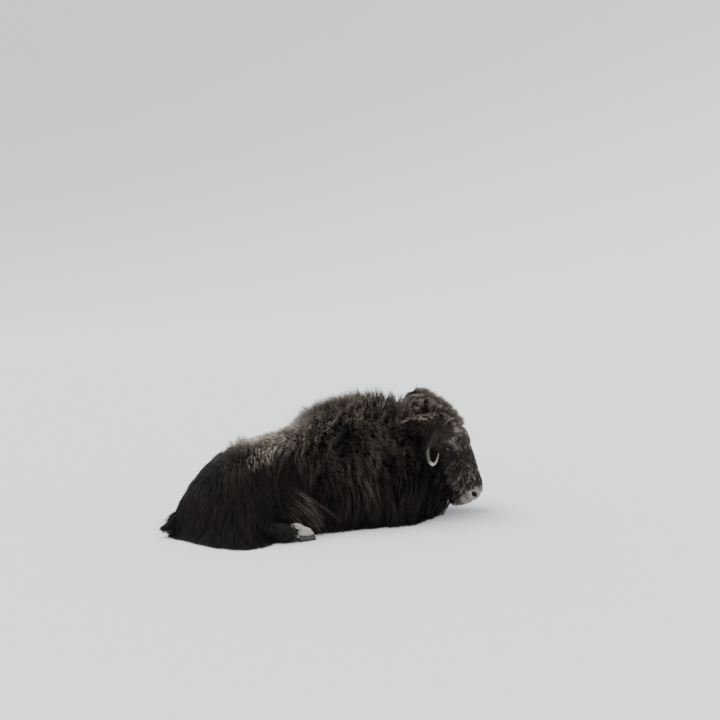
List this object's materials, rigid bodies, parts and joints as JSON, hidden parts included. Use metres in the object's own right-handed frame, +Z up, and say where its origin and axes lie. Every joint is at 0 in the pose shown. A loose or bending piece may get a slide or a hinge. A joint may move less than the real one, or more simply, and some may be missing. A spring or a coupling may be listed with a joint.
{
  "type": "lying muskox",
  "caption": "Life-size still model of a young muskox cow lying on its belly, its head low and turned a little to its right",
  "frame": {"origin": "middle of the model's bounding box, on the floor that it lies on", "axes": "+X runs from the tail to the nose, +Y to the animal's left side, +Z up"},
  "size_m": [1.7382, 0.688, 0.6837],
  "materials": {
    "coat": "long dark brown guard hair over paler wool",
    "face": "short dark hair with pale bare lips",
    "horn": "smooth pale keratin with a dark tip and a rough base",
    "hoof": "dull grey keratin",
    "eye": "wet dark brown"
  },
  "bodies": {
    "root": {"torso": "coat", "neck": "coat", "head": "face", "tail": "coat", "fore_leg_right": "coat", "fore_leg_left": "coat", "hind_leg_right": "coat", "hind_leg_left": "coat", "ear_right": "coat", "ear_left": "coat", "horn_right": "horn", "horn_left": "horn", "eye_right": "eye", "eye_left": "eye", "hoof_hind_right_inner": "hoof", "hoof_hind_right_outer": "hoof", "hoof_hind_left_inner": "hoof", "hoof_hind_left_outer": "hoof", "hoof_fore_right_inner": "hoof", "hoof_fore_right_outer": "hoof", "hoof_fore_left_inner": "hoof", "hoof_fore_left_outer": "hoof", "dewclaw_hind_right_inner": "hoof", "dewclaw_hind_right_outer": "hoof", "dewclaw_hind_left_inner": "hoof", "dewclaw_hind_left_outer": "hoof", "dewclaw_fore_right_inner": "hoof", "dewclaw_fore_right_outer": "hoof", "dewclaw_fore_left_inner": "hoof", "dewclaw_fore_left_outer": "hoof"}
  },
  "joints": []
}
